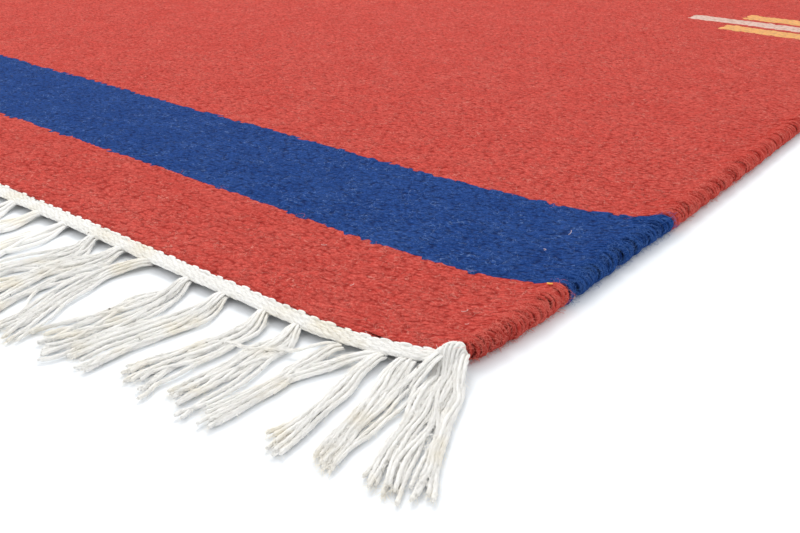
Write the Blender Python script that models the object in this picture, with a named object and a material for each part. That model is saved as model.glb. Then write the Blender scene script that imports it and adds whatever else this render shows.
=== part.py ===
"""A flat-woven wool rug with rolled selvedges, cotton end bands and a knotted warp fringe.

Units are metres. +Z is up, +Y runs along the warps (the long way), +X along the wefts.
The origin is the middle of the underside, so the rug lies on the plane z = 0.
"""

import math

import bmesh
import bpy

# Driving dimensions.
RUG_WIDTH = 0.800  # outside to outside of the two rolled selvedges
WOOL_LENGTH = 1.480  # wool cloth from end to end, along its middle
CLOTH_THICKNESS = 0.0042
SELVEDGE_WIDTH = 0.0085
SELVEDGE_HEIGHT = 0.0072
BAND_WIDTH = 0.0072  # cotton rows that finish each end
BAND_THICKNESS = 0.0034
BAND_INSET = 0.0045  # from the selvedge's outside to the band's end
KNOT_ROW_WIDTH = 0.0030  # spine of the fringe, the row of knots at the band's edge
GAP = 0.0003  # between neighbouring pieces

# The wefts and the ends curve in towards the middle of the rug beside each selvedge.
BOW_DEPTH = 0.0150
BOW_REACH = 0.0600

# Fringe: evenly spaced bundles of warp ends, and at each corner a few closer ones that fan out.
EVEN_BUNDLES = 41
EVEN_START = 0.0395  # from the selvedge's outside to the first evenly spaced bundle
BUNDLE_REACH = 0.0490  # from the band's edge to the tips, along Y
REACH_SWING = 0.0040  # slow change of that reach along the rug's end
LEAN_SWING = 0.0040  # slow sideways lean of the tips
ROOT_HALF_WIDTH = 0.0022
TIP_HALF_WIDTH = 0.0062
FRINGE_ROOT_TOP = 0.0036
FRINGE_TIP_TOP = 0.0020

# Corner bundles: root distance in from the selvedge's outside, sideways lean of the tip
# towards the selvedge, reach of the tip from the band's edge, and the tip's half width.
CORNER_BUNDLES = (
    {"root": 0.0115, "lean": 0.0270, "reach": 0.0440, "tip_half": 0.0085},
    {"root": 0.0190, "lean": 0.0130, "reach": 0.0470, "tip_half": 0.0045},
    {"root": 0.0280, "lean": 0.0065, "reach": 0.0480, "tip_half": 0.0048},
)

ARC_STEPS = 14  # straight runs round a selvedge
BOW_STEPS = 12  # straight runs along the bowed stretch
CORNER_POINTS = 4  # points round a bundle's tip

# Linear colours.
WOOL_RED = (0.555, 0.088, 0.072, 1.0)
COTTON_CREAM = (0.830, 0.800, 0.740, 1.0)


def clear_scene():
    for obj in list(bpy.data.objects):
        bpy.data.objects.remove(obj, do_unlink=True)


def make_collection(name):
    collection = bpy.data.collections.new(name)
    bpy.context.scene.collection.children.link(collection)
    return collection


def make_material(name, colour, roughness):
    material = bpy.data.materials.new(name)
    material.use_nodes = True
    shader = material.node_tree.nodes["Principled BSDF"]
    shader.inputs["Base Color"].default_value = colour
    shader.inputs["Roughness"].default_value = roughness
    shader.inputs["Metallic"].default_value = 0.0
    material.diffuse_color = colour
    return material


def bow(x):
    """How far an end or a weft at this x has moved towards the middle of the rug."""
    inset = RUG_WIDTH / 2 - abs(x)
    return BOW_DEPTH * max(0.0, 1.0 - inset / BOW_REACH) ** 2


def bow_stations(limit):
    """x from -limit to +limit, close together where the ends are bowed."""
    start = RUG_WIDTH / 2 - BOW_REACH
    side = [start + (limit - start) * i / BOW_STEPS for i in range(BOW_STEPS + 1)]
    return [-x for x in reversed(side)] + side


def flat_solid(name, outline, thickness, material):
    """A closed 2D outline, filled and given a thickness: a mesh from z = 0 upwards."""
    curve = bpy.data.curves.new(name + "_outline", "CURVE")
    curve.dimensions = "2D"
    curve.fill_mode = "BOTH"
    curve.extrude = thickness / 2
    spline = curve.splines.new("POLY")
    spline.points.add(len(outline) - 1)
    for point, (x, y) in zip(spline.points, outline):
        point.co = (x, y, 0.0, 1.0)
    spline.use_cyclic_u = True
    helper = bpy.data.objects.new(name + "_outline", curve)
    bpy.context.scene.collection.objects.link(helper)
    bpy.context.view_layer.update()
    graph = bpy.context.evaluated_depsgraph_get()
    mesh = bpy.data.meshes.new_from_object(helper.evaluated_get(graph))
    mesh.name = name
    bpy.data.objects.remove(helper, do_unlink=True)
    edit = bmesh.new()
    edit.from_mesh(mesh)
    bmesh.ops.remove_doubles(edit, verts=edit.verts, dist=1e-6)
    bmesh.ops.translate(edit, verts=edit.verts, vec=(0.0, 0.0, thickness / 2))
    bmesh.ops.recalc_face_normals(edit, faces=edit.faces)
    edit.to_mesh(mesh)
    edit.free()
    mesh.materials.clear()
    mesh.materials.append(material)
    return mesh


def place(name, mesh, collection, turned=False):
    obj = bpy.data.objects.new(name, mesh)
    collection.objects.link(obj)
    if turned:
        obj.rotation_euler = (0.0, 0.0, math.pi)
    return obj


def cloth_section():
    """The rug's section across its width, as (x, z): flat below, with a round cord at each side."""
    radius_x = SELVEDGE_WIDTH / 2
    radius_z = SELVEDGE_HEIGHT / 2
    centre = RUG_WIDTH / 2 - radius_x
    inner = math.pi - math.asin((CLOTH_THICKNESS - radius_z) / radius_z)
    cord = []
    for step in range(ARC_STEPS + 1):
        angle = -math.pi / 2 + (inner + math.pi / 2) * step / ARC_STEPS
        cord.append((centre + radius_x * math.cos(angle), radius_z * (1 + math.sin(angle))))
    flat = [x for x in bow_stations(cord[-1][0] - 0.001) if x > 0]
    top = [(x, CLOTH_THICKNESS) for x in reversed(flat)]
    bottom = [(x, 0.0) for x in flat if x < centre - 0.001]
    right = bottom + cord + top
    left = [(-x, z) for x, z in reversed(right)]
    return right + left


def make_woven_body(collection):
    material = make_material("red_wool", WOOL_RED, 0.95)
    mesh = flat_solid("woven_body", cloth_section(), WOOL_LENGTH, material)
    edit = bmesh.new()
    edit.from_mesh(mesh)
    for vert in edit.verts:
        # Stand the outline up, so that its thickness runs along Y, then bow the two ends.
        x, z, along = vert.co
        y = WOOL_LENGTH / 2 - along
        vert.co = (x, y - math.copysign(bow(x), y), z)
    edit.to_mesh(mesh)
    edit.free()
    mesh.shade_smooth()
    mesh.set_sharp_from_angle(angle=math.radians(40))
    place("woven_body", mesh, collection)


def wool_edge(x):
    """The wool cloth's near end at this x."""
    return -WOOL_LENGTH / 2 + bow(x)


def band_outline():
    limit = RUG_WIDTH / 2 - BAND_INSET
    inner = [(x, wool_edge(x) - GAP) for x in bow_stations(limit)]
    outer = [(x, y - BAND_WIDTH) for x, y in reversed(inner)]
    return inner + outer


def make_end_bands(collection):
    material = make_material("cotton_band", COTTON_CREAM, 0.9)
    mesh = flat_solid("end_band", band_outline(), BAND_THICKNESS, material)
    place("end_band_near", mesh, collection)
    place("end_band_far", mesh, collection, turned=True)


def bundle(root, lean, reach, tip_half):
    """One bundle's outline from its right root to its left root, as (x, y)."""
    base = wool_edge(root) - 2 * GAP - BAND_WIDTH - KNOT_ROW_WIDTH
    tip_y = -WOOL_LENGTH / 2 - BAND_WIDTH - reach
    tip_x = root + lean
    round_y = tip_half * 0.45
    points = [(root + ROOT_HALF_WIDTH, base)]
    for step in range(CORNER_POINTS + 1):
        angle = math.pi * step / CORNER_POINTS
        points.append((tip_x + tip_half * math.cos(angle), tip_y - round_y * math.sin(angle)))
    points.append((root - ROOT_HALF_WIDTH, base))
    return points


def bundles():
    """Every bundle of one end, from the right selvedge to the left one."""
    side = RUG_WIDTH / 2
    rows = [bundle(side - row["root"], row["lean"], row["reach"], row["tip_half"]) for row in CORNER_BUNDLES]
    first = side - EVEN_START
    for index in range(EVEN_BUNDLES):
        root = first - 2 * first * index / (EVEN_BUNDLES - 1)
        lean = LEAN_SWING * math.sin(4 * math.pi * root / first)
        reach = BUNDLE_REACH + REACH_SWING * math.sin(1.0 + 5 * math.pi * root / first)
        rows.append(bundle(root, lean, reach, TIP_HALF_WIDTH))
    for row in reversed(CORNER_BUNDLES):
        rows.append(bundle(row["root"] - side, -row["lean"], row["reach"], row["tip_half"]))
    return rows


def fringe_outline():
    limit = RUG_WIDTH / 2 - BAND_INSET
    spine = [(x, wool_edge(x) - 2 * GAP - BAND_WIDTH) for x in bow_stations(limit)]
    end_y = spine[-1][1] - KNOT_ROW_WIDTH
    teeth = [point for row in bundles() for point in row]
    return spine + [(limit, end_y)] + teeth + [(-limit, end_y)]


def make_fringes(collection):
    material = make_material("cotton_fringe", COTTON_CREAM, 0.9)
    mesh = flat_solid("fringe", fringe_outline(), FRINGE_ROOT_TOP, material)
    band_edge = -WOOL_LENGTH / 2 - BAND_WIDTH
    for vert in mesh.vertices:
        if vert.co.z > 0:
            along = min(1.0, max(0.0, (band_edge - vert.co.y) / BUNDLE_REACH))
            vert.co.z = FRINGE_ROOT_TOP + (FRINGE_TIP_TOP - FRINGE_ROOT_TOP) * along
    place("fringe_near", mesh, collection)
    place("fringe_far", mesh, collection, turned=True)


def main():
    clear_scene()
    collection = make_collection("kilim_rug")
    make_woven_body(collection)
    make_end_bands(collection)
    make_fringes(collection)


main()
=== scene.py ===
"""Looks of a flat-woven wool rug: weave, selvedges, cotton ends and fringe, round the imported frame.

Metres. +Y runs along the warps, +X along the wefts, and the rug lies on the plane z = 0.
"""

import math

import bpy
import numpy as np
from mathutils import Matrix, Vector


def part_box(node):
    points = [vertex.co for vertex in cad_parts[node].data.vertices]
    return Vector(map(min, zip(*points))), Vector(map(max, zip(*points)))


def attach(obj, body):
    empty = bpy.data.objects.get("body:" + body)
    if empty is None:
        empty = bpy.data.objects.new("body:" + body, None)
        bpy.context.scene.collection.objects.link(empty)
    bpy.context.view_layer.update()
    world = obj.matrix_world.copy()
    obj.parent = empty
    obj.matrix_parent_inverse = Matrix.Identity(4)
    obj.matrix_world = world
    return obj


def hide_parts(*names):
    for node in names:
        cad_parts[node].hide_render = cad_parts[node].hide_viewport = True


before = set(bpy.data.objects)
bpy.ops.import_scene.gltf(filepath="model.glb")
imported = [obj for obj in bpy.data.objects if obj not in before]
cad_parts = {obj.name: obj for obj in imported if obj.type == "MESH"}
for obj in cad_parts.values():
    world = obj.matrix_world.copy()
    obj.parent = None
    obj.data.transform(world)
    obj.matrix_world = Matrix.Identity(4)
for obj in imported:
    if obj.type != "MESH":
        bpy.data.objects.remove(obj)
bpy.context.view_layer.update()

BODY_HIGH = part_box("woven_body")[1]  # its right, far and top limits
HALF_WIDTH = BODY_HIGH[0]
END = BODY_HIGH[1]  # the wool's end along its middle
MM = 0.001

# Cloth.
CLOTH_TOP = 0.0042
CORD_WIDTH = 0.0085  # the selvedge's cord
CORD_HALF = CORD_WIDTH / 2
CORD_RISE = BODY_HIGH[2] / 2  # half its height, and the height of its middle
CORD_X = HALF_WIDTH - CORD_HALF
CLIMB_HEIGHT = 0.0016  # how far the face climbs to the cord
CLIMB_END = 0.0065  # where the climb ends, in from the selvedge's outside
CLIMB_REACH = 0.0105  # and how wide it is
SWELL = 0.00025  # height of the face's slow swells
BOW_DEPTH = 0.0150  # the wefts curve towards the middle beside each selvedge
BOW_REACH = 0.0550
WAIST = 0.0100  # share by which the cloth is narrower along its middle than at its ends
WAIST_END = 0.400  # distances along Y from the rug's middle, where it is narrowest
WAIST_START = 0.610  # and where it starts to narrow
HOOK_DEPTH = 0.0035  # at its very end the selvedge's outside turns back out
HOOK_REACH = 0.0070  # in from the selvedge's outside
HOOK_FADE = 0.0200  # along the rug
TUCK_DEPTH = 0.0042  # and the end of the cord is drawn in
TUCK_REACH = 0.0120  # both along the rug and in from its side
WARP_PITCH = 0.0028
BEAD_PITCH = 0.0018  # two picks, the length along a warp of one visible bit of weft
WRAP_PITCH = 0.0018  # the selvedge's loops of yarn
WRAP_RADIUS = 0.00077
WRAP_INSET = 0.0009  # from the cord's outside to the middle of that yarn
WRAP_OVERRUN = 0.0006  # how far the loops go on past the cloth's end

# Design, measured in from the wool's end.
STRIPE_START = 0.0556
STRIPE_END = 0.125
STRIPE_END_DRIFT = 0.0085  # towards a selvedge the stripe ends later
STRIPE_DRIFT_REACH = 2.5 * BOW_REACH
EDGE_REACH = 0.0120  # and over the selvedge itself it turns back out
EDGE_TURN = 0.0055
STRIPE_END_TURN = 0.4  # share of that turn at the stripe's end
MOTIF_ROW = 0.530
MOTIF_COLUMN = 0.0930  # from the selvedge's outside
WHITE_HALF = (0.0697, 0.0082)
YELLOW_HALF = (0.0352, 0.0088)
YELLOW_OFFSET = 0.0236
PLAIN_EDGE = 0.020  # no bar comes nearer to the rug's side
STEP_LUCK = 0.0012  # how ragged the design's edges are along the warps

# Cotton ends.
BAND_WIDTH = 0.0062
EVEN_BUNDLES = 41
EVEN_START = 0.0395
EVEN_FROM = 0.175  # bundles further in than this are laid out by chance
STRAND_RADIUS = 0.00080
STRAND_LIE = 1.02  # height of a strand's middle where it lies on the floor, in radii
PLY_TURN = 0.0070  # length of one turn of a plied strand
CAP_HALF = 0.0070  # half the length of the cotton turns over the end of a selvedge
CAP_MIDDLE = 0.0078  # from the end of the band to the middle of that cap

# Loose fibres.
WOOL_FIBRE_RADIUS = 0.000045
COTTON_FIBRE_RADIUS = 0.00007
LINT_RADIUS = 0.00008
YELLOW_LINT_RADIUS = 0.00035

# Linear colours: dark, middle and light parts of each yarn, and of fuzz its loose fibres and hairs.
# The dark parts also serve as painted shade in the pits between beads and in the selvedge's hollows.
RED = ((0.310, 0.016, 0.012), (0.540, 0.062, 0.048), (0.72, 0.170, 0.135))
BLUE = ((0.003, 0.014, 0.080), (0.009, 0.046, 0.205), (0.046, 0.120, 0.370))
# The fuzz is lighter than its yarn: partly its own colour, partly painted sheen.
RED_FUZZ = ((0.70, 0.160, 0.125), (0.80, 0.31, 0.25))
BLUE_FUZZ = ((0.05, 0.125, 0.36), (0.16, 0.27, 0.55))
YELLOW = (0.80, 0.42, 0.15)
WHITE = (0.71, 0.51, 0.45)
# Painted shade in the pits of the motifs' bars.
MOTIF_PIT_SHADE = (0.50, 0.27, 0.17)
COTTON = (0.945, 0.930, 0.895)
COTTON_TINT = (0.86, 0.80, 0.67)
COTTON_SPECK = (0.10, 0.08, 0.06)
# Painted shade: the dark colour of the band core's underside, in the gap under the band.
COTTON_SHADE_BELOW = (0.22, 0.20, 0.18)
PALE_LINT = (0.84, 0.66, 0.62)
YELLOW_LINT_COLOUR = (0.95, 0.55, 0.12)
FLOOR = (0.90, 0.93, 0.965)
WOOL_SHEEN = (1.0, 0.9, 0.9)

# Camera: its height above the cloth, and its distances from the near right corner in such heights.
CAMERA_HEIGHT = 0.1432
CAMERA_OUT = 0.9171  # along X
CAMERA_BACK = 1.2892  # along Y
CAMERA_AZIMUTH = math.radians(39.36)
CAMERA_PITCH = math.radians(25.72)
CAMERA_LENS = 42.75

# Stage.
FLOOR_HALF = 8.0
FLOOR_DROP = 0.0001  # keeps the floor clear of the underside
WORLD_STRENGTH = 0.93
KEY_LIGHT = {"place": (-1.2, 0.6, 1.9), "target": (0.1, -0.3, 0.0), "size": 1.2, "power": 36.0}
KEY_COLOUR = (1.0, 0.985, 0.96)
FILL_LIGHT = {"place": (0.1, -2.0, 0.9), "target": (0.38, -0.74, 0.0), "size": 1.0, "power": 2.6}
FILL_COLOUR = (1.0, 1.0, 1.0)

chance = np.random.default_rng(7)


# ---------------------------------------------------------------- mesh helpers


def mesh_object(name, parts, materials):
    """One smooth object from (points, faces, slots) parts. faces is a list of (n, corners) arrays,
    and slots a material index, or one array of them for each of those."""
    mesh = bpy.data.meshes.new(name)
    points = np.concatenate([part[0] for part in parts])
    mesh.vertices.add(len(points))
    mesh.vertices.foreach_set("co", points.astype(np.float32).ravel())
    starts, corners, indices = [], [], []
    first, loops = 0, 0
    for own, faces, slots in parts:
        for at, block in enumerate(faces):
            count, size = block.shape
            corners.append(block.ravel() + first)
            starts.append(loops + size * np.arange(count))
            indices.append(slots[at] if isinstance(slots, list) else np.full(count, slots))
            loops += count * size
        first += len(own)
    corners, starts = np.concatenate(corners), np.concatenate(starts)
    mesh.loops.add(len(corners))
    mesh.loops.foreach_set("vertex_index", corners.astype(np.int32))
    mesh.polygons.add(len(starts))
    mesh.polygons.foreach_set("loop_start", starts.astype(np.int32))
    mesh.polygons.foreach_set("material_index", np.concatenate(indices).astype(np.int32))
    for material in materials:
        mesh.materials.append(material)
    mesh.update()
    mesh.validate()
    mesh.shade_smooth()
    obj = bpy.data.objects.new(name, mesh)
    bpy.context.scene.collection.objects.link(obj)
    return obj


def share_of(count):
    """Even steps from -1 to 1."""
    return np.linspace(-1, 1, count)


def unit(v):
    """Vectors of length 1 in the same directions."""
    return v / np.maximum(np.linalg.norm(v, axis=-1, keepdims=True), 1e-12)


def grid_faces(rows, columns):
    """Quads of a grid of points whose columns close into rings, and its two end faces."""
    here = np.arange(columns)
    after = (here + 1) % columns
    base = (np.arange(rows - 1) * columns)[:, None]
    quads = np.stack([base + here, base + after, base + columns + after, base + columns + here], -1)
    return quads.reshape(-1, 4), here[None, ::-1], (rows - 1) * columns + here[None, :]


def tubes(paths, radii, sides, reference, slots=0, lobes=0.0, turns=None):
    """Closed tubes along paths (n, m, 3), as a mesh part. radii is (n, m). lobes above 0 gives a
    two-ply section, which turns by turns (n, m) radians along the path."""
    n, m, _ = paths.shape
    tangent = unit(np.gradient(paths, axis=1))
    across = unit(np.cross(tangent, np.asarray(reference, float)))
    normal = np.cross(across, tangent)
    angle = np.linspace(0, 2 * np.pi, sides, endpoint=False)[None, None, :]
    spin = angle if turns is None else angle + turns[:, :, None]
    reach = radii[:, :, None] * (1.0 - lobes * np.abs(np.sin(angle)))
    ring = (
        paths[:, :, None, :]
        + (reach * np.cos(spin))[..., None] * across[:, :, None, :]
        + (reach * np.sin(spin))[..., None] * normal[:, :, None, :]
    )
    quads, head, tail = grid_faces(m, sides)
    step = (np.arange(n) * m * sides)[:, None, None]
    faces = [(step + block[None]).reshape(-1, block.shape[1]) for block in (quads, head, tail)]
    own = np.broadcast_to(slots, (n,))
    return ring.reshape(-1, 3), faces, [np.repeat(own, len(quads)), own, own]


def ribbons(paths, radii, facing, slots=0):
    """Flat strips along paths (n, m, 3), as a mesh part: for fibres too thin to show their section."""
    n, m, _ = paths.shape
    across = unit(np.cross(unit(np.gradient(paths, axis=1)), facing)) * radii[..., None]
    points = np.stack([paths - across, paths + across], 2)
    here = 2 * np.arange(m - 1)[:, None]
    quads = here + np.array([[0, 1, 3, 2]])
    faces = ((np.arange(n) * 2 * m)[:, None, None] + quads[None]).reshape(-1, 4)
    return points.reshape(-1, 3), [faces], [np.repeat(np.broadcast_to(slots, (n,)), m - 1)]


def smooth_path(knots, count):
    """Catmull-Rom curves through a few knots, (..., k, 3) or (k, 3), read at count places."""
    knots = np.asarray(knots, float)
    first = 2 * knots[..., :1, :] - knots[..., 1:2, :]
    last = 2 * knots[..., -1:, :] - knots[..., -2:-1, :]
    ends = np.concatenate([first, knots, last], axis=-2)
    at = np.linspace(0, knots.shape[-2] - 1, count)
    k = np.minimum(at.astype(int), knots.shape[-2] - 2)
    t = (at - k)[:, None]
    a, b, c, d = (ends[..., k + i, :] for i in range(4))
    square = 2 * a - 5 * b + 4 * c - d
    cube = 3 * b - a - 3 * c + d
    return 0.5 * (2 * b + (c - a) * t + square * t**2 + cube * t**3)


def smooth_step(share):
    """From 0 to 1 with no corner at either end, for shares from 0 to 1."""
    return share**2 * (3 - 2 * share)


def bow(x):
    """How far the wool's end at this x has moved towards the middle of the rug."""
    inset = HALF_WIDTH - np.abs(x)
    return BOW_DEPTH * np.clip(1 - inset / BOW_REACH, 0, None) ** 2


def woven_y(y, x):
    """Where a weft lies, from where it would lie with no bow."""
    return y / (1 + bow(x) / (END - BOW_DEPTH))


def hook(x, y):
    """How far the selvedge's outside turns back out, close to an end of the rug."""
    side = np.clip(1 - (HALF_WIDTH - np.abs(x)) / HOOK_REACH, 0, None) ** 1.5
    return HOOK_DEPTH * side * np.exp((np.abs(y) - END) / HOOK_FADE) * np.sign(y)


def near_end(x):
    """y of the wool's near end."""
    return woven_y(-END, x) + hook(x, -END)


def tucked(points):
    """Draws in the ends of the selvedges."""
    x, y = points[..., 0], points[..., 1]
    side = np.clip(1 - (HALF_WIDTH - np.abs(x)) / TUCK_REACH, 0, 1)
    inside = np.clip(np.abs(near_end(x)) - np.abs(y), 0, None)
    moved = points.copy()
    moved[..., 0] -= np.sign(x) * TUCK_DEPTH * side * np.exp(-inside / TUCK_REACH)
    return moved


def drawn_in(points):
    """The wool's points with its sides drawn in along the middle of the rug."""
    share = np.clip((np.abs(points[..., 1]) - WAIST_END) / (WAIST_START - WAIST_END), 0, 1)
    narrowed = points.copy()
    narrowed[..., 0] /= 1 + WAIST * (1 - smooth_step(share))
    return narrowed


def turned(parts):
    """The same pieces at the far end: half a turn about Z."""
    return [(points * np.array([-1, -1, 1]), faces, slots) for points, faces, slots in parts]


# ---------------------------------------------------------------- materials


class Graph:
    """A small helper that adds nodes to one material and links them."""

    def __init__(self, name):
        self.material = bpy.data.materials.new(name)
        self.material.use_nodes = True
        self.tree = self.material.node_tree
        self.shader = self.tree.nodes["Principled BSDF"]

    def put(self, kind, inputs, out=0, **settings):
        """Adds a node with its inputs and settings, and returns one of its outputs."""
        node = self.tree.nodes.new(kind)
        for key, value in settings.items():
            setattr(node, key, value)
        for key, value in inputs.items():
            self.feed(node.inputs[key], value)
        return node.outputs[out]

    def feed(self, socket, value):
        """Links an output to a socket, or sets the socket to a number or colour."""
        if isinstance(value, bpy.types.NodeSocket):
            self.tree.links.new(value, socket)
        elif socket.type == "RGBA":
            socket.default_value = (*value, 1.0)
        else:
            socket.default_value = value

    def math(self, operation, *values):
        return self.put("ShaderNodeMath", dict(enumerate(values)), operation=operation)

    def times(self, a, b):
        return self.math("MULTIPLY", a, b)

    def minus(self, a, b):
        return self.math("SUBTRACT", a, b)

    def absolute(self, value):
        return self.math("ABSOLUTE", value)

    def sum(self, *values):
        total = values[0]
        for value in values[1:]:
            total = self.math("ADD", total, value)
        return total

    def noise(self, vector, scale, detail=2.0, roughness=0.5):
        inputs = {"Vector": vector, "Scale": scale, "Detail": detail, "Roughness": roughness}
        return self.put("ShaderNodeTexNoise", inputs)

    def mix(self, factor, a, b, blend="MIX"):
        """Colour a, turning to b as factor goes from 0 to 1."""
        node = self.tree.nodes.new("ShaderNodeMix")
        node.data_type = "RGBA"
        node.blend_type = blend
        for name, kind, value in (("Factor", "VALUE", factor), ("A", "RGBA", a), ("B", "RGBA", b)):
            self.feed(next(s for s in node.inputs if s.name == name and s.type == kind), value)
        return next(s for s in node.outputs if s.type == "RGBA")

    def range(self, value, low, high, to_low=0.0, to_high=1.0, kind="LINEAR"):
        inputs = {"Value": value, "From Min": low, "From Max": high, "To Min": to_low, "To Max": to_high}
        return self.put("ShaderNodeMapRange", inputs, interpolation_type=kind)

    def place(self):
        """Object coordinates as a vector, and the x, y and z of the wool before it is drawn in."""
        vector = self.put("ShaderNodeTexCoord", {}, out=3)
        split = self.tree.nodes.new("ShaderNodeSeparateXYZ")
        self.feed(split.inputs[0], vector)
        x, y, z = split.outputs
        wide = self.range(self.absolute(y), WAIST_END, WAIST_START, 1 + WAIST, 1.0, "SMOOTHSTEP")
        return vector, self.times(x, wide), y, z

    def stretched(self, vector, scale):
        return self.put("ShaderNodeMapping", {"Vector": vector, "Scale": scale})

    def shaded(self, colour, shade):
        grey = self.put("ShaderNodeCombineColor", {0: shade, 1: shade, 2: shade})
        return self.mix(1.0, colour, grey, blend="MULTIPLY")

    def finish(self, colour, height, strength, distance, roughness, sheen, sheen_tint):
        self.feed(self.shader.inputs["Base Color"], colour)
        bump = self.put("ShaderNodeBump", {"Strength": strength, "Distance": distance, "Height": height})
        self.feed(self.shader.inputs["Normal"], bump)
        self.shader.inputs["Roughness"].default_value = roughness
        self.shader.inputs["Sheen Weight"].default_value = sheen
        self.shader.inputs["Sheen Roughness"].default_value = 0.5
        self.shader.inputs["Sheen Tint"].default_value = (*sheen_tint, 1.0)
        self.shader.inputs["Specular IOR Level"].default_value = 0.04
        return self.material


def heather(g, cloud, streak, shades):
    """Wool's uneven dye: broad cloudy patches, and fine streaks of lighter and darker fibre."""
    dark, middle, light = shades
    colour = g.mix(g.range(cloud, 0.35, 0.75, 0.0, 0.22), middle, light)
    colour = g.mix(g.range(streak, 0.52, 0.70, 0.0, 0.85), colour, light)
    return g.mix(g.range(streak, 0.48, 0.30, 0.0, 0.85), colour, dark)


def hairs(g, vector, scale):
    """Curled lines as thin as a fibre, broken into short lengths."""
    curl = g.noise(vector, scale, 1.0, 0.5)
    line = g.range(g.absolute(g.minus(curl, 0.5)), 0.004, 0.020, 1.0, 0.0)
    return g.times(line, g.range(g.noise(vector, 0.45 * scale, 1.0), 0.47, 0.57))


def rise(g, inset, reach):
    """From 0 at a reach in from the rug's side to 1 at the side."""
    share = g.minus(1.0, g.math("DIVIDE", inset, reach))
    return g.math("POWER", g.math("MAXIMUM", share, 0.0), 2.0)


def weft_beads(g, vector, x, y, bowed):
    """Each visible bit of weft is one cell, a little off the regular weave. Returns how far it
    stands up, the x and y of its middle before the weft is bowed, and a random value of its own."""
    weft = g.times(y, g.sum(1.0, g.times(bowed, BOW_DEPTH / (END - BOW_DEPTH))))
    wander = g.minus(g.noise(g.stretched(vector, (1.0, 0.4, 1.0)), 70.0), 0.5)
    column = g.math("DIVIDE", x, WARP_PITCH)
    row = g.math("DIVIDE", g.sum(weft, g.times(wander, 0.0035)), BEAD_PITCH)
    spot = g.put("ShaderNodeCombineXYZ", {0: column, 1: row})
    cells = {"Vector": spot, "Scale": 1.0, "Randomness": 0.80}
    beads = g.put("ShaderNodeTexVoronoi", cells, voronoi_dimensions="2D").node
    middle = g.tree.nodes.new("ShaderNodeSeparateXYZ")
    g.feed(middle.inputs[0], beads.outputs["Position"])
    dome = g.minus(1.0, g.math("POWER", beads.outputs["Distance"], 2.0))
    luck = g.put("ShaderNodeSeparateColor", {0: beads.outputs["Color"]})
    return dome, g.times(middle.outputs[0], WARP_PITCH), g.times(middle.outputs[1], BEAD_PITCH), luck


def blue_stripe(g, inset, far):
    """1 in the blue stripe near each end, 0 elsewhere, by the distance from the rug's middle."""
    edge = g.math("MAXIMUM", g.minus(1.0, g.math("DIVIDE", inset, EDGE_REACH)), 0.0)
    turn_out = g.times(edge, EDGE_TURN)
    start = g.sum(turn_out, END - STRIPE_START)
    drift_in = g.times(rise(g, inset, STRIPE_DRIFT_REACH), -STRIPE_END_DRIFT)
    stop = g.sum(g.times(turn_out, STRIPE_END_TURN), END - STRIPE_END, drift_in)
    return g.times(g.math("LESS_THAN", far, start), g.math("GREATER_THAN", far, stop))


def motif_bars(g, bead_x, far):
    """1 in the white bars and 1 in the yellow bars of the motifs: three columns of motifs in each
    outer row, and two between them in the middle row."""
    row_y = END - MOTIF_ROW
    pitch = HALF_WIDTH - MOTIF_COLUMN
    middle_row = g.math("LESS_THAN", far, row_y / 2)
    shifted = g.sum(bead_x, pitch / 2, g.times(middle_row, pitch / 2))
    motif_x = g.absolute(g.minus(g.math("FLOORED_MODULO", shifted, pitch), pitch / 2))
    motif_y = g.absolute(g.minus(far, g.minus(row_y, g.times(middle_row, row_y))))
    inside = g.math("LESS_THAN", g.absolute(bead_x), HALF_WIDTH - PLAIN_EDGE)

    def bar(from_middle, half):
        long = g.math("LESS_THAN", motif_x, half[0])
        return g.times(inside, g.times(long, g.math("LESS_THAN", from_middle, half[1])))

    return bar(motif_y, WHITE_HALF), bar(g.absolute(g.minus(motif_y, YELLOW_OFFSET)), YELLOW_HALF)


def cloth_material():
    g = Graph("woven_wool")
    vector, x, y, _ = g.place()
    inset = g.minus(HALF_WIDTH, g.absolute(x))
    bowed = rise(g, inset, BOW_REACH)
    dome, bead_x, bead_y, luck = weft_beads(g, vector, x, y, bowed)
    # A bead is one colour all over, so the edges of the design step from warp to warp.
    far = g.sum(g.absolute(bead_y), g.times(g.minus(luck, 0.5), STEP_LUCK))
    stripe = blue_stripe(g, inset, far)
    white, yellow = motif_bars(g, bead_x, far)
    cloud = g.noise(vector, 60.0, 3.0)
    streak = g.noise(vector, 950.0, 3.0, 0.75)
    colour = g.mix(stripe, heather(g, cloud, streak, RED), heather(g, cloud, streak, BLUE))
    colour = g.mix(white, colour, WHITE)
    colour = g.mix(yellow, colour, YELLOW)
    # Each bead has a tone of its own, and the pits between the beads are darkened with painted shade.
    colour = g.shaded(colour, g.range(luck, 0.0, 1.0, 0.90, 1.12))
    open_pit = g.range(g.sum(g.noise(vector, 260.0, 1.0), g.times(bowed, 0.12)), 0.36, 0.56)
    pit = g.times(g.range(dome, 0.90, 0.54), open_pit)
    pit_shade = g.mix(g.sum(white, yellow), g.mix(stripe, RED[0], BLUE[0]), MOTIF_PIT_SHADE)
    colour = g.mix(g.times(pit, 0.72), colour, pit_shade)
    # Hairs drawn lighter than the yarn, partly as painted sheen.
    hair = hairs(g, vector, 330.0)
    colour = g.mix(g.times(hair, 0.55), colour, g.mix(stripe, RED_FUZZ[1], BLUE_FUZZ[1]))
    fuzz = g.noise(vector, 800.0, 3.0, 0.7)
    height = g.sum(g.times(dome, 1.1), g.times(pit, -0.3), g.times(fuzz, 1.6), g.times(hair, 0.25))
    return g.finish(colour, height, 0.9, 0.0008, 0.95, 0.015, WOOL_SHEEN)


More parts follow.
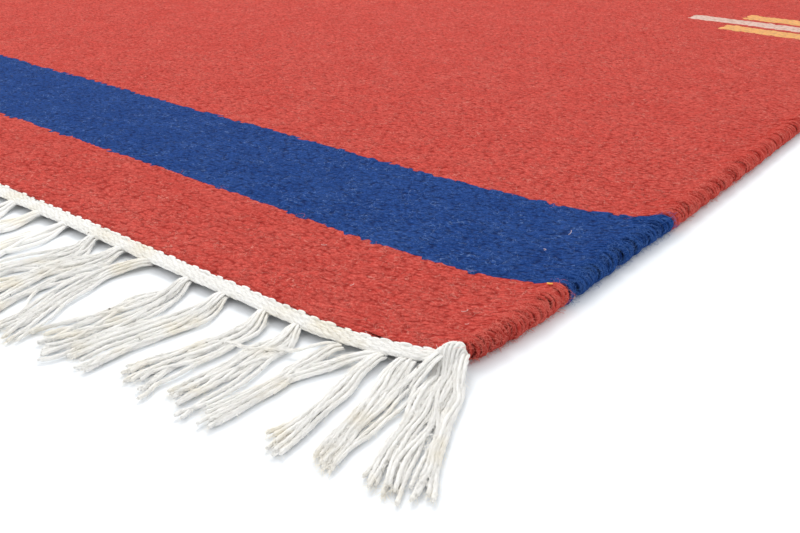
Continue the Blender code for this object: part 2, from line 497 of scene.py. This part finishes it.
def yarn_material(name, shades, fuzz):
    g = Graph(name)
    vector, x, _, z = g.place()
    streak = g.noise(g.stretched(vector, (420.0, 2300.0, 420.0)), 1.0, 3.0, 0.6)
    colour = heather(g, g.noise(vector, 60.0, 3.0), streak, shades)
    # Painted shade in the hollows: darker by how near a place is to the middle line of the selvedge's cord.
    out = g.math("DIVIDE", g.minus(g.absolute(x), CORD_X), CORD_HALF)
    up = g.math("DIVIDE", g.minus(z, CORD_RISE), CORD_RISE)
    away = g.math("SQRT", g.sum(g.times(out, out), g.times(up, up)))
    colour = g.mix(g.range(away, 0.98, 0.76, 0.0, 0.60), colour, shades[0])
    # Hairs drawn lighter than the yarn, partly as painted sheen.
    hair = hairs(g, vector, 380.0)
    colour = g.mix(g.times(hair, 0.45), colour, fuzz)
    height = g.sum(streak, g.times(hair, 0.3))
    return g.finish(colour, height, 0.9, 0.0005, 0.95, 0.015, WOOL_SHEEN)


def cotton_material():
    g = Graph("cotton_yarn")
    vector = g.place()[0]
    tint = g.noise(vector, 55.0, 2.0)
    fibre = g.noise(g.stretched(vector, (2200.0, 900.0, 2200.0)), 1.0, 3.0, 0.6)
    speck = g.noise(vector, 420.0, 0.0)
    colour = g.mix(g.range(tint, 0.51, 0.67, 0.0, 0.7), COTTON, COTTON_TINT)
    colour = g.mix(g.range(fibre, 0.42, 0.25, 0.0, 0.25), colour, COTTON_TINT)
    colour = g.mix(g.range(speck, 0.86, 0.88, 0.0, 0.8), colour, COTTON_SPECK)
    g.shader.inputs["Subsurface Weight"].default_value = 0.35
    g.shader.inputs["Subsurface Radius"].default_value = (1.0, 0.97, 0.93)
    g.shader.inputs["Subsurface Scale"].default_value = 0.0010
    return g.finish(colour, fibre, 0.4, 0.0003, 0.9, 0.02, (1.0, 1.0, 1.0))


def plain_material(name, colour):
    g = Graph(name)
    g.feed(g.shader.inputs["Base Color"], colour)
    g.shader.inputs["Roughness"].default_value = 0.9
    g.shader.inputs["Specular IOR Level"].default_value = 0.1
    return g.material


# ---------------------------------------------------------------- wool


def face_height(x):
    """Height of the cloth's face, which climbs to the selvedges."""
    inset = HALF_WIDTH - np.abs(x)
    return CLOTH_TOP + CLIMB_HEIGHT * np.clip(1 - (inset - CLIMB_END) / CLIMB_REACH, 0, 1) ** 2


def cloth_ring():
    """The cloth's section as x and z, from left to right over the face and back along the floor,
    and how many points of it are on the face."""
    close = HALF_WIDTH - np.concatenate([np.linspace(0.062, 0.022, 12), np.linspace(0.020, 0.0066, 9)])
    face_x = np.concatenate([-close[::-1], share_of(39)[1:-1] * close[0], close])
    # Beside the face it runs round inside the cord, clear of the yarn that covers it.
    arc = np.linspace(math.radians(125), math.radians(-90), 12)
    cord_x = CORD_X + (CORD_HALF - 0.0021) * np.cos(arc)
    cord_z = CORD_RISE + (CORD_RISE - 0.0016) * np.sin(arc)
    cord_z[-1] = 0.0
    below_x = np.linspace(CORD_X - 0.004, -CORD_X + 0.004, 40)
    x = np.concatenate([face_x, cord_x, below_x, -cord_x[::-1]])
    z = np.concatenate([face_height(face_x), cord_z, np.zeros(40), cord_z[::-1]])
    return x, z, len(face_x)


def make_cloth(material):
    """The cloth between and inside the selvedges' yarn. Its weave is in the material."""
    ring_x, ring_z, on_face = cloth_ring()
    is_face = np.arange(len(ring_x)) < on_face
    rows = END * np.sin(share_of(160) * 1.25) / math.sin(1.25)
    x = np.broadcast_to(ring_x, (len(rows), len(ring_x)))
    y = woven_y(np.broadcast_to(rows[:, None], x.shape), x) + hook(x, rows[:, None])
    # The face isn't quite flat: slow swells a few tenths of a millimetre high.
    swell = SWELL * np.sin(x * 31 + 1.3 * np.sin(y * 17)) * np.cos(y * 23 + x * 9)
    points = drawn_in(tucked(np.stack([x, y, ring_z + is_face * swell], -1))).reshape(-1, 3)
    faces = [block[:, ::-1] for block in grid_faces(len(rows), len(ring_x))]
    return mesh_object("wool_cloth", [(points, faces, 0)], [material])


def is_blue(y, x):
    """1 in the blue stripes, 0 elsewhere, for places on the cloth before it is bowed."""
    inset = HALF_WIDTH - np.abs(x)
    far = END - np.abs(y)
    turn_out = EDGE_TURN * np.clip(1 - inset / EDGE_REACH, 0, None)
    drift_in = STRIPE_END_DRIFT * np.clip(1 - inset / STRIPE_DRIFT_REACH, 0, None) ** 2
    start = STRIPE_START - turn_out
    stop = STRIPE_END - STRIPE_END_TURN * turn_out + drift_in
    return ((far > start) & (far < stop)).astype(int)


def drift(count, period, size):
    """A smooth random value for each of count steps."""
    knots = chance.normal(0, size, int(count / period) + 3)
    return np.interp(np.arange(count) / period, np.arange(len(knots)), knots)


def selvedge_clumps(count):
    """The loops stand in clumps, with a dip between two of them. Returns how far each loop stands
    out, as a share of the cord's radius, and how much its clump leans and fans out."""
    bounds = np.cumsum(chance.uniform(3.2, 8.5, count // 3))
    clump = np.searchsorted(bounds, np.arange(count))
    width = np.diff(bounds, prepend=0.0)[clump]
    within = (bounds[clump] - np.arange(count)) / width
    swell = np.clip(np.sin(np.pi * np.clip(within, 0.04, 0.96)), 0, 1) ** 0.9
    lean = chance.normal(0, 0.0015, len(bounds))[clump]
    depth = chance.uniform(0.22, 0.52, len(bounds))[clump]
    grow = 1.15 - depth * (1 - swell) + drift(count, 9, 0.02) + chance.normal(0, 0.03, count)
    fan = (within - 0.5) * np.clip(chance.normal(0.0022, 0.0016, len(bounds)), -0.0010, 0.005)[clump]
    return grow[:, None], (lean + fan)[:, None]


def make_selvedge(name, side, steps, sides, materials):
    """The wefts that turn round the outer warps: one loop for each pick, in uneven clumps."""
    count = int(2 * END / WRAP_PITCH)
    length = 2 * (END + WRAP_OVERRUN)
    y = -END - WRAP_OVERRUN + (np.arange(count) + 0.5) * length / count
    y = (y + chance.normal(0, 0.00022, count))[:, None]
    grow, clump_lean = selvedge_clumps(count)

    # Each loop comes up out of the face, goes over the cord and turns in below it.
    inset = chance.uniform(0.0090, 0.0170, (count, 1))
    lie = np.concatenate([inset, inset * 0.6 + 0.0036, np.full((count, 1), 0.0076)], axis=1)
    on_face = face_height(HALF_WIDTH - lie) + np.array([[-0.0009, -0.0003, 0.0000]])
    turn = np.linspace(math.radians(128), math.radians(-75), steps)[None, :]
    cord_x = CORD_X + (CORD_HALF - WRAP_INSET) * grow * np.cos(turn)
    cord_z = CORD_RISE + (CORD_RISE - WRAP_INSET) * grow * np.sin(turn)
    x = np.concatenate([HALF_WIDTH - lie, cord_x], axis=1)
    z = np.concatenate([on_face, cord_z], axis=1)
    share = share_of(steps + 3)[None, :]
    lean = 0.0012 + clump_lean + chance.normal(0, 0.0005, (count, 1))
    wobble = chance.normal(0, 0.00034, (count, 1)) * np.sin(share * 3 + chance.uniform(0, 6, (count, 1)))
    path_y = woven_y(y, x) + hook(x, y) - share * lean + wobble
    radius = WRAP_RADIUS * (1 + chance.normal(0, 0.16, (count, 1))) * np.ones_like(x)
    radius *= np.interp(share[0], [-1, -0.6, 0.7, 1], [0.3, 1, 1, 0.6])[None, :]
    paths = drawn_in(tucked(np.stack([x, path_y, np.maximum(z, radius)], -1))) * np.array([side, 1, 1])
    slots = is_blue(y[:, 0], HALF_WIDTH - 0.003)
    return mesh_object(name, [tubes(paths, radius, sides, (0, 1, 0), slots)], materials)


def make_fibres(name, count, on_cord, materials):
    """Curled fibres that stand off the wool, more of them by the near right corner."""
    side = np.where(chance.random(count) < 0.8, 1, -1)
    by_corner = chance.random(count) < 0.7
    reach = np.where(by_corner, 0.22, 2 * END - 0.02)
    y = -END + 0.002 + reach * chance.random(count) ** np.where(by_corner, 1.4, 1.0)
    steps = 9
    share = np.linspace(0, 1, steps)[None, :]
    length = np.clip(chance.gamma(3.0, 0.0014, count), 0.0012, 0.0090)[:, None]
    bend = chance.normal(0, 480, (count, 1)) * length * share
    bend = bend + np.cumsum(chance.normal(0, 0.35, (count, steps)), axis=1)
    heading = chance.uniform(0, 2 * np.pi, (count, 1)) + bend
    over = np.cumsum(np.cos(heading), axis=1) * length / steps
    y = y[:, None] + np.cumsum(np.sin(heading), axis=1) * length / steps
    lift = 0.0001 + np.clip(chance.gamma(1.6, 0.00045, (count, 1)), 0, 0.0022) * np.sin(np.pi * share**0.8)
    if on_cord:
        around = chance.uniform(math.radians(-55), math.radians(150), (count, 1)) + over / CORD_HALF
        x = CORD_X + (CORD_HALF + lift) * np.cos(around)
        z = CORD_RISE + (CORD_RISE + lift) * np.sin(around)
        facing = np.stack([np.cos(around), 0 * around, np.sin(around)], -1)
    else:
        inset = 0.010 + np.abs(chance.normal(0, 0.11, (count, 1)))
        x = HALF_WIDTH - inset + over
        z = face_height(x) + 0.6 * lift
        facing = np.stack([0 * x, 0 * x, 0 * x + 1], -1)
    z = np.maximum(z, 0.0003)
    paths = drawn_in(tucked(np.stack([x, woven_y(y, x) + hook(x, y), z], -1)))
    paths[..., 0] *= side[:, None]
    facing[..., 0] *= side[:, None]
    radius = np.full((count, steps), WOOL_FIBRE_RADIUS) * np.linspace(1.0, 0.6, steps)
    slots = is_blue(y[:, 0], x[:, 0])
    return mesh_object(name, [ribbons(paths, radius, facing, slots)], materials)


# Bits of lint caught in the face near the corner: distance in from the selvedge's outside, distance
# from the wool's end and length, all in mm, direction in degrees, and how much it curls in radians.
LINT = (
    (21, 31, 3.4, 60, 2.2),
    (15, 25, 1.6, 40, 2.0),
    (25, 87, 2.4, 120, 4.0),
    (25, 104, 5.0, 105, 0.7),
    (90, 40, 2.6, 30, 1.6),
    (60, 22, 2.4, 80, 1.6),
)
YELLOW_LINT = (9.3, 63.6, 2.4, -10, 0.6)


def make_lint(materials):
    steps = 9
    paths = []
    for inset, along, length, direction, curl in (*LINT, YELLOW_LINT):
        turn = math.radians(direction) + curl * np.linspace(-0.5, 0.5, steps)
        x = HALF_WIDTH - inset * MM + np.cumsum(np.cos(turn)) * length * MM / steps
        y = -END + along * MM + np.cumsum(np.sin(turn)) * length * MM / steps
        paths.append(np.stack([x, y, face_height(x) + 0.0009], -1))
    radius = np.array([LINT_RADIUS] * len(LINT) + [YELLOW_LINT_RADIUS])[:, None] * np.ones((1, steps))
    slots = np.array([0] * len(LINT) + [1])
    return mesh_object("lint", [tubes(np.array(paths), radius, 5, (0, 0, 1), slots)], materials)


# ---------------------------------------------------------------- cotton ends


# Height of the band's yarn by distance in from the selvedge's outside, in mm: it runs flat, then
# climbs over the end of the thick selvedge and down its outside.
BAND_LINE = (
    (24.0, 3.3),
    (16.0, 3.3),
    (13.2, 3.5),
    (10.8, 4.4),
    (9.2, 5.6),
    (7.4, 6.4),
    (5.4, 6.5),
    (3.2, 5.9),
    (1.5, 4.7),
    (0.4, 3.2),
    (0.8, 1.6),
)


def band_line():
    """The length along the band's line from the rug's middle, its x and z, and the x and z of the
    way out of its surface."""
    knots = np.array([(HALF_WIDTH - a * MM, 0, b * MM) for a, b in BAND_LINE])
    curve = smooth_path(knots, 400)
    curve = np.concatenate([[[0, 0, curve[0, 2]]], curve])
    length = np.concatenate([[0], np.cumsum(np.linalg.norm(np.diff(curve, axis=0), axis=1))])
    ahead = unit(np.gradient(curve, axis=0))
    return length, curve[:, 0], curve[:, 2], -ahead[:, 2], ahead[:, 0]


BAND_LENGTH, *BAND_CURVE = band_line()
BAND_LIMIT = BAND_LENGTH[-1]


def on_band(along, out, above=0.0):
    """Points a length along the band from the rug's middle, a distance out from the wool, and a
    height above the band's line. The band narrows at its ends."""
    side = np.sign(along)
    along = np.abs(along)
    x, z, above_x, above_z = (np.interp(along, BAND_LENGTH, values) for values in BAND_CURVE)
    narrow = np.interp(BAND_LIMIT - along, [0.0, 0.008, 0.018], [0.55, 0.7, 1.0])
    return np.stack([side * (x + above * above_x), near_end(x) - out * narrow, z + above * above_z], -1)


# Rows of cotton weft: distance out from the wool, half length and radius in mm, slant, place along
# the row as a share of the pitch, and pitch and height above the band's line in mm.
BAND_ROWS = (
    (-0.2, 2.4, 0.76, 0.05, 0.0, 6.4, 0.55),
    (0.3, 2.3, 0.56, 0.10, 0.25, 3.2, 0.52),
    (1.4, 2.4, 0.52, 0.15, 0.0, 3.2, 0.36),
    (2.3, 2.4, 0.52, 0.15, 0.5, 3.2, 0.38),
    (3.2, 2.4, 0.52, 0.15, 0.0, 3.2, 0.32),
    (4.1, 2.4, 0.52, 0.15, 0.5, 3.2, 0.18),
    (4.8, 2.6, 0.58, 0.12, 0.0, 3.2, -0.05),
    (5.3, 3.0, 0.50, 0.06, 0.5, 3.2, -0.40),
)
BAND_UNITS = np.array([MM, MM, MM, 1, 1, MM, MM])
BARE_ROWS = 0.001  # rows nearer to the wool than this have no loose fibres


def band_core():
    """The thin core under the band's yarn at the near end, with painted shade on its underside."""
    side = np.linspace(0.37, BAND_LIMIT, 40)
    along = np.concatenate([-side[::-1], np.linspace(-0.36, 0.36, 90), side])
    profile = np.array([[0.15, -2.6], [0.0, 0.2], [0.5, 0.5], [0.85, 0.2], [1.0, -0.5], [0.9, -1.0]])
    out = -0.0010 + profile[:, 0] * BAND_WIDTH
    ring = on_band(along[:, None] + 0 * out, out[None, :] + 0 * along[:, None])
    lift = np.interp(BAND_LIMIT - np.abs(along), [0, 0.012, 0.02], [0.3, 0.3, 1.0])
    ring[..., 2] += profile[:, 1] * MM * lift[:, None]
    # The underside's faces take the painted shade.
    below = np.tile([0, 0, 0, 0, 1, 1], len(along) - 1)
    slots = [below, np.zeros(1, int), np.zeros(1, int)]
    return tucked(ring).reshape(-1, 3), list(grid_faces(len(along), len(profile))), slots


def band_row(row, steps, sides, loose):
    """One row of the band's weft, with loose fibres on it unless it lies close to the wool."""
    out, half, radius, slant, shift, pitch, height = np.array(row) * BAND_UNITS
    number = int(BAND_LIMIT / pitch) + 1
    at = (np.arange(-number, number) + shift) * pitch
    at = at[np.abs(at) < BAND_LIMIT - 0.001]
    luck = chance.normal(0, 1, (5, len(at), 1))
    share = share_of(steps)
    taper = np.clip(1 - share**2, 0.03, None) ** 0.35
    spread = half * (1 + 0.07 * luck[0]) * share
    above = height + 0.0001 * luck[3] - 0.0004 * share**2
    along = at[:, None] + 0.0002 * luck[1] + spread
    paths = on_band(along, out + 0.00012 * luck[2] + slant * spread, above)
    parts = [tubes(tucked(paths), radius * (1 + 0.08 * luck[4]) * taper, sides, (0, 1, 0))]
    if out > BARE_ROWS:
        start = paths[chance.integers(0, len(paths), loose), chance.integers(0, steps, loose)]
        aim = unit(chance.normal(0, 1, (loose, 3)) * [1, 0.4, 0.1])
        length = chance.uniform(0.001, 0.0022, loose)
        parts.append(fibre_curves(tucked(start) + [0, 0, radius + 0.0001], aim, length))
    return parts


def band_turns(sides):
    """Three thin turns of cotton that hold the fringe over each end of the selvedges."""
    share = share_of(24)
    place = BAND_LIMIT - CAP_MIDDLE + CAP_HALF * share
    radius = 0.00042 * np.clip(1 - share**2, 0.03, None) ** 0.3 * np.ones((2, 1))
    parts = []
    for out, above in ((0.0003, 0.0004), (0.0013, 0.0009), (0.0024, 0.0010)):
        wave = 0.0003 * np.sin(5 * share + out * 4000)
        paths = on_band(np.stack([-place, place]), out + wave, above + 0.7 * wave - 0.0010 * share**4)
        parts.append(tubes(tucked(paths), radius, sides, (0, 1, 0)))
    return parts


def band_parts(steps, sides, loose):
    """The band at the near end: its core, rows of cotton weft over it, and the turns at its ends."""
    rows = [part for row in BAND_ROWS for part in band_row(row, steps, sides, loose)]
    return [band_core(), *rows, *band_turns(sides)]


# Bundles of fringe at the near right corner, which the rug's other corners copy: number of strands,
# height at the root (0 where they start all over the end of the cord), and places along the bundle:
# distance in from the selvedge's outside, distance out from the wool's end, and half width. In mm.
CORNER_GROUPS = (
    (15, 0, ((6.4, -12, 2.8), (4.4, -3, 3.8), (0.5, 9, 5), (-4, 21, 6.4), (-8.5, 34, 6.8), (-13.8, 46, 6.6))),
    (1, 5, ((2.4, -9, 0), (-2, 0, 0), (-7, 10, 0), (-12.5, 21, 0), (-18.5, 32, 0), (-24.5, 42, 0))),
    (5, 5.6, ((5, -11, 1.2), (1, -3, 1.2), (-5, 6, 1), (-9, 17, 1), (-13, 26, 1), (-17, 33, 1.2),
      (-20, 40, 1.6))),
    (4, 5.8, ((9.6, -9, 1.2), (10.6, 5, 1.8), (9, 14, 2.2), (7, 27, 2.4), (6, 37, 2.6), (4, 47, 3))),
    (6, 3, ((19, -1, 1.4), (18, 7, 1.8), (13, 20, 2), (10, 31, 2.2), (7, 41, 2.6), (5, 49, 3.2))),
    (4, 3, ((17, -2, 1), (15, 5, 1.4), (13, 13, 1.7), (12, 25, 2), (9, 36, 2.2), (7, 46, 2.5))),
    (5, 3, ((27, 1, 1.2), (33, 10, 1.6), (36, 17, 1.8), (40, 29, 2.1), (40, 38, 2.3),
      (40, 48, 2.6), (40, 55, 2.6))),
    (8, 2.8, ((26, 1, 1.4), (26, 11, 2.2), (24, 20, 2.6), (22, 31, 2.4), (20, 42, 2.4), (19, 52, 3.6))),
    (6, 3, ((39, 5, 1.4), (41, 14, 2), (41, 23, 2.2), (40, 33, 2.5), (41, 44, 3), (42, 55, 3.6))),
    (1, 3.6, ((40, 6, 0), (46, 14, 0), (52, 18, 0), (58, 22, 0), (65, 24, 0), (70, 27, 0), (72, 35, 0))),
    (9, 3, ((58, 4, 1.4), (55, 14, 3.4), (55, 24, 4.8), (54, 35, 5.2), (54, 46, 5.4), (55, 55, 6.2))),
    (9, 3, ((73, 4, 1.4), (69, 14, 3.6), (69, 24, 5), (71, 37, 5.8), (73, 48, 6), (73, 56, 6.6))),
    (10, 3, ((92, 4, 1.6), (90, 15, 4), (90, 24, 5.6), (92, 38, 6.4), (94, 50, 6.8), (95, 60, 7.6))),
    (11, 3, ((110, 5, 1.6), (107, 16, 4), (107, 27, 6), (108, 39, 7), (110, 50, 7.8), (112, 61, 8.4))),
    (11, 3, ((131, 4, 1.6), (137, 16, 3.6), (138, 27, 5.8), (136, 40, 7.2), (131, 53, 8), (128, 64, 8.6))),
    (10, 3, ((148, 4, 1.6), (149, 15, 3.8), (151, 27, 6), (150, 41, 7.6), (149, 60, 8.6))),
    (10, 3, ((165, 4, 1.6), (162, 15, 3.8), (162, 26, 6), (166, 40, 7.6), (169, 60, 8.6))),
)


def even_groups():
    """The rest of the bundles of one end, as groups of the same kind, for x from left to right."""
    first = HALF_WIDTH - EVEN_START
    pitch = 2 * first / (EVEN_BUNDLES - 1)
    groups = []
    for index in range(EVEN_BUNDLES):
        x = -first + index * pitch
        if HALF_WIDTH - abs(x) < EVEN_FROM:
            continue
        inset = (HALF_WIDTH - x) / MM
        sway, sway_low = chance.normal(0, 2.2, 2)
        reach = 58 + chance.normal(0, 2.5)
        wide = chance.uniform(5.0, 7.6)
        knots = (
            (inset, 4, 1.2),
            (inset + sway * 0.6, 0.25 * reach, 0.7 * wide),
            (inset + sway, 0.45 * reach, wide),
            (inset + sway_low, 0.7 * reach, wide),
            (inset + sway_low * 1.5, reach, wide * chance.uniform(0.8, 1.2)),
        )
        groups.append((int(chance.integers(8, 10)), 3.0, knots))
    return groups


def strands_across(knots, number, share):
    """Where each strand of a bundle is across it: -1 and 1 are its sides. Also its even place."""
    place = share_of(number) if number > 1 else np.zeros(1)
    loose = 0.20 if knots[-1, 0] < 50 else 0.36
    weave = chance.normal(0, loose, (number, 1)) * np.sin(share * 5 + chance.uniform(0, 6, (number, 1)))
    weave += chance.normal(0, 0.10, (number, 1)) * np.sin(share * 11 + chance.uniform(0, 6, (number, 1)))
    return place[:, None] + weave * np.clip(share * 3, 0, 1), place[:, None]


def hooded(paths, place, share):
    """The same strands, each starting at its own place over the end of the selvedge's cord."""
    number = len(paths)
    uneven = np.where(np.arange(number) % 2 == 0, 0.00032, -0.00032)[:, None]
    uneven = uneven + chance.normal(0, 0.00012, (number, 1))
    along = BAND_LIMIT - CAP_MIDDLE - 0.0056 * place + chance.normal(0, 0.0002, (number, 1)) + 0 * share
    above = 0.0007 + uneven - 0.0014 * np.clip(1 - share / 0.02, 0, 1)
    hood = tucked(on_band(along, 0.0560 * share, above))
    part = smooth_step(np.clip((share - 0.05) / 0.20, 0, 1)[:, None])
    return hood * (1 - part) + paths * part


def strand_paths(group, side, count):
    """The strands of one group, packed as a flat bundle that comes to rest on the floor."""
    number, root_height, knots = group
    knots = np.array(knots, float)
    x = HALF_WIDTH - knots[:, 0] * MM
    y = -END - knots[:, 1] * MM
    centre = smooth_path(np.stack([x, y, knots[:, 2] * MM], -1), count)
    half = centre[:, 2]
    share = np.linspace(0, 1, count)
    across, place = strands_across(knots, number, share)
    along = unit(np.gradient(centre[:, :2], axis=0))
    right = np.stack([along[:, 1], -along[:, 0]], -1)
    wave = 0.00022 * np.sin(share * chance.uniform(14, 26, (number, 1)) + chance.uniform(0, 6, (number, 1)))
    offset = across * half + wave * np.clip(share * 4, 0, 1)
    # The strands lie in two layers, which flatten as the bundle widens and comes down to the floor.
    radius = STRAND_RADIUS * np.interp(share, [0, 0.12, 0.25, 1], [0.72, 0.85, 1.0, 0.97])
    thick = np.clip(0.50 * number * STRAND_RADIUS**2 / (half + 0.0008), 0, 0.0014)
    level = np.where(np.arange(number) % 2 == 0, 1.0, -1.0)[:, None] * np.sqrt(np.clip(1 - across**2, 0, 1))
    if number == 1 and root_height < 4:
        # A stray strand lies over its neighbours until close to its end.
        level = np.ones((1, count)) * 2.2 * np.clip((0.97 - share) * 6, 0, 1)
    rest = radius * STRAND_LIE + thick * (1 + level) * 0.62
    hang = root_height * MM + level * thick * 0.45 - offset**2 / 0.0060
    fall = smooth_step(np.clip(share / 0.30, 0, 1))
    z = np.maximum(hang + (rest - hang) * fall, radius * STRAND_LIE)
    z -= 0.0010 * np.clip(1 - share / 0.06, 0, 1)
    plan = centre[None, :, :2] + offset[..., None] * right
    stretch = 1 + chance.normal(0, 0.022, (number, 1)) - 0.04 * place
    plan = plan[:, :1] + (plan - plan[:, :1]) * stretch[..., None]
    paths = np.concatenate([plan, z[..., None]], -1)
    if root_height == 0:
        paths = hooded(paths, place, share)
    paths[..., 0] *= side
    return paths, np.broadcast_to(radius, (number, count)).copy()


def tip_fibres(paths, each):
    """Loose fibres at the cut ends of the strands."""
    n = len(paths)
    tip = np.repeat(paths[:, -2], each, axis=0)
    ahead = np.repeat(unit(paths[:, -1] - paths[:, -3]), each, axis=0)
    aim = unit(ahead + chance.normal(0, 0.40, (n * each, 3)) * [1, 1, 0.3])
    return fibre_curves(tip, aim, chance.uniform(0.0012, 0.0040, n * each))


def side_fibres(paths, each):
    """Loose fibres that lie along the strands and across the gaps between them."""
    n, m, _ = paths.shape
    owner = np.repeat(np.arange(n), each)
    at = chance.integers(m // 10, m - 2, n * each)
    ahead = unit(paths[owner, at + 1] - paths[owner, at - 1])
    aim = unit(ahead + chance.normal(0, 0.55, (n * each, 3)) * [1, 1, 0.2])
    start = paths[owner, at] + chance.normal(0, 1, (n * each, 3)) * [0.0006, 0.0006, 0.0001] + [0, 0, 0.0006]
    return fibre_curves(start, aim, chance.uniform(0.0013, 0.0038, n * each))


def fibre_curves(start, aim, length):
    """Thin curved fibres from their starts, as a mesh part."""
    share = np.linspace(0, 1, 4)[None, :, None]
    bend = chance.normal(0, 0.30, (len(start), 1, 3)) * [1, 1, 0.2] * length[:, None, None]
    paths = start[:, None, :] + aim[:, None, :] * length[:, None, None] * share + bend * share**2
    paths[..., 2] = np.maximum(paths[..., 2], 0.0002)
    radius = np.full(paths.shape[:2], COTTON_FIBRE_RADIUS) * np.linspace(1.0, 0.5, 4)
    return ribbons(paths, radius, np.array([0.0, 0.0, 1.0]))


def fringe_parts(groups, count, sides, tip=1, along=0, ply=False):
    """Mesh parts of some (group, side) bundles: their strands, and for each strand a number of
    loose fibres at its tip and along it."""
    laid = [strand_paths(group, side, count) for group, side in groups]
    paths = np.concatenate([paths for paths, _ in laid])
    radius = np.concatenate([radius for _, radius in laid])
    radius = radius * (1 + chance.normal(0, 0.06, (len(paths), 1)))
    radius[:, -1] *= 0.6
    if ply:
        length = np.linalg.norm(np.diff(paths, axis=1), axis=2).sum(axis=1)[:, None]
        turns = np.linspace(0, 1, count) * length * 2 * np.pi / PLY_TURN
        turns = turns + chance.uniform(0, 6, (len(paths), 1))
        strands = tubes(paths, radius, sides, (0, 0, 1), lobes=0.16, turns=turns)
    else:
        strands = tubes(paths, radius, sides, (0, 0, 1))
    parts = [strands, tip_fibres(paths, tip)]
    if along:
        parts.append(side_fibres(paths, along))
    return parts


# ---------------------------------------------------------------- stage


def make_stage():
    mesh = bpy.data.meshes.new("floor")
    corners = [(x * FLOOR_HALF, y * FLOOR_HALF, 0) for x, y in ((-1, -1), (1, -1), (1, 1), (-1, 1))]
    mesh.from_pydata(corners, [], [(0, 1, 2, 3)])
    mesh.materials.append(plain_material("pale_floor", FLOOR))
    floor = bpy.data.objects.new("floor", mesh)
    floor.location = (0, 0, -FLOOR_DROP)
    bpy.context.scene.collection.objects.link(floor)
    return floor


def area_light(name, place, target, size, power, colour):
    light = bpy.data.lights.new(name, "AREA")
    light.shape = "DISK"
    light.size = size
    light.energy = power
    light.color = colour
    obj = bpy.data.objects.new(name, light)
    obj.location = place
    obj.rotation_euler = (Vector(target) - Vector(place)).to_track_quat("-Z", "Y").to_euler()
    bpy.context.scene.collection.objects.link(obj)


def make_lights():
    world = bpy.data.worlds.new("studio")
    bpy.context.scene.world = world
    world.use_nodes = True
    background = world.node_tree.nodes["Background"]
    background.inputs["Color"].default_value = (1.0, 1.0, 1.0, 1.0)
    background.inputs["Strength"].default_value = WORLD_STRENGTH
    area_light("key", colour=KEY_COLOUR, **KEY_LIGHT)
    area_light("fill", colour=FILL_COLOUR, **FILL_LIGHT)
    bpy.context.scene.view_settings.view_transform = "Standard"


def make_camera():
    data = bpy.data.cameras.new("camera")
    data.lens = CAMERA_LENS
    data.sensor_width = 36.0
    data.clip_start = 0.01
    data.clip_end = 50.0
    camera = bpy.data.objects.new("camera", data)
    camera.location = (
        HALF_WIDTH + CAMERA_OUT * CAMERA_HEIGHT,
        -END - CAMERA_BACK * CAMERA_HEIGHT,
        CLOTH_TOP + CAMERA_HEIGHT,
    )
    camera.rotation_euler = (math.pi / 2 - CAMERA_PITCH, 0.0, CAMERA_AZIMUTH)
    bpy.context.scene.collection.objects.link(camera)
    bpy.context.scene.camera = camera


# ---------------------------------------------------------------- the rug


def main():
    make_camera()
    floor = make_stage()
    make_lights()

    yarn = [yarn_material("red_yarn", RED, RED_FUZZ[1]), yarn_material("blue_yarn", BLUE, BLUE_FUZZ[1])]
    # The loose fibres are lighter than their yarn, partly as painted sheen.
    loose = [plain_material("red_fibre", RED_FUZZ[0]), plain_material("blue_fibre", BLUE_FUZZ[0])]
    cotton = cotton_material()
    below = plain_material("cotton_underside_shade", COTTON_SHADE_BELOW)
    lint = [plain_material("pale_lint", PALE_LINT), plain_material("yellow_lint", YELLOW_LINT_COLOUR)]

    cloth = make_cloth(cloth_material())
    wool = [
        make_selvedge("selvedge_right", side=1, steps=11, sides=6, materials=yarn),
        make_selvedge("selvedge_left", side=-1, steps=6, sides=4, materials=yarn),
        make_fibres("selvedge_fibres", 3500, on_cord=True, materials=loose),
        make_fibres("face_fibres", 4500, on_cord=False, materials=loose),
        make_lint(lint),
    ]
    even = even_groups()
    right = [(group, 1) for group in CORNER_GROUPS]
    rest = [(group, 1) for group in even] + [(group, -1) for group in CORNER_GROUPS]
    ends = [
        mesh_object("cotton_band_near", band_parts(steps=7, sides=6, loose=700), [cotton, below]),
        mesh_object("cotton_band_far", turned(band_parts(steps=5, sides=4, loose=100)), [cotton, below]),
        mesh_object("fringe_near_corner", fringe_parts(right, 60, 8, tip=9, along=80, ply=True), [cotton]),
        mesh_object("fringe_near_rest", fringe_parts(rest, 20, 6), [cotton]),
        mesh_object("fringe_far_side", turned(fringe_parts(right + rest, 18, 5)), [cotton]),
    ]

    for piece in [cloth, *wool]:
        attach(piece, "root")
    for piece in ends:
        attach(piece, "root")
    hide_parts("woven_body")
    for piece, node in zip(ends, ("end_band_near", "end_band_far", "fringe_near", None, "fringe_far")):
        if node:
            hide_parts(node)


main()
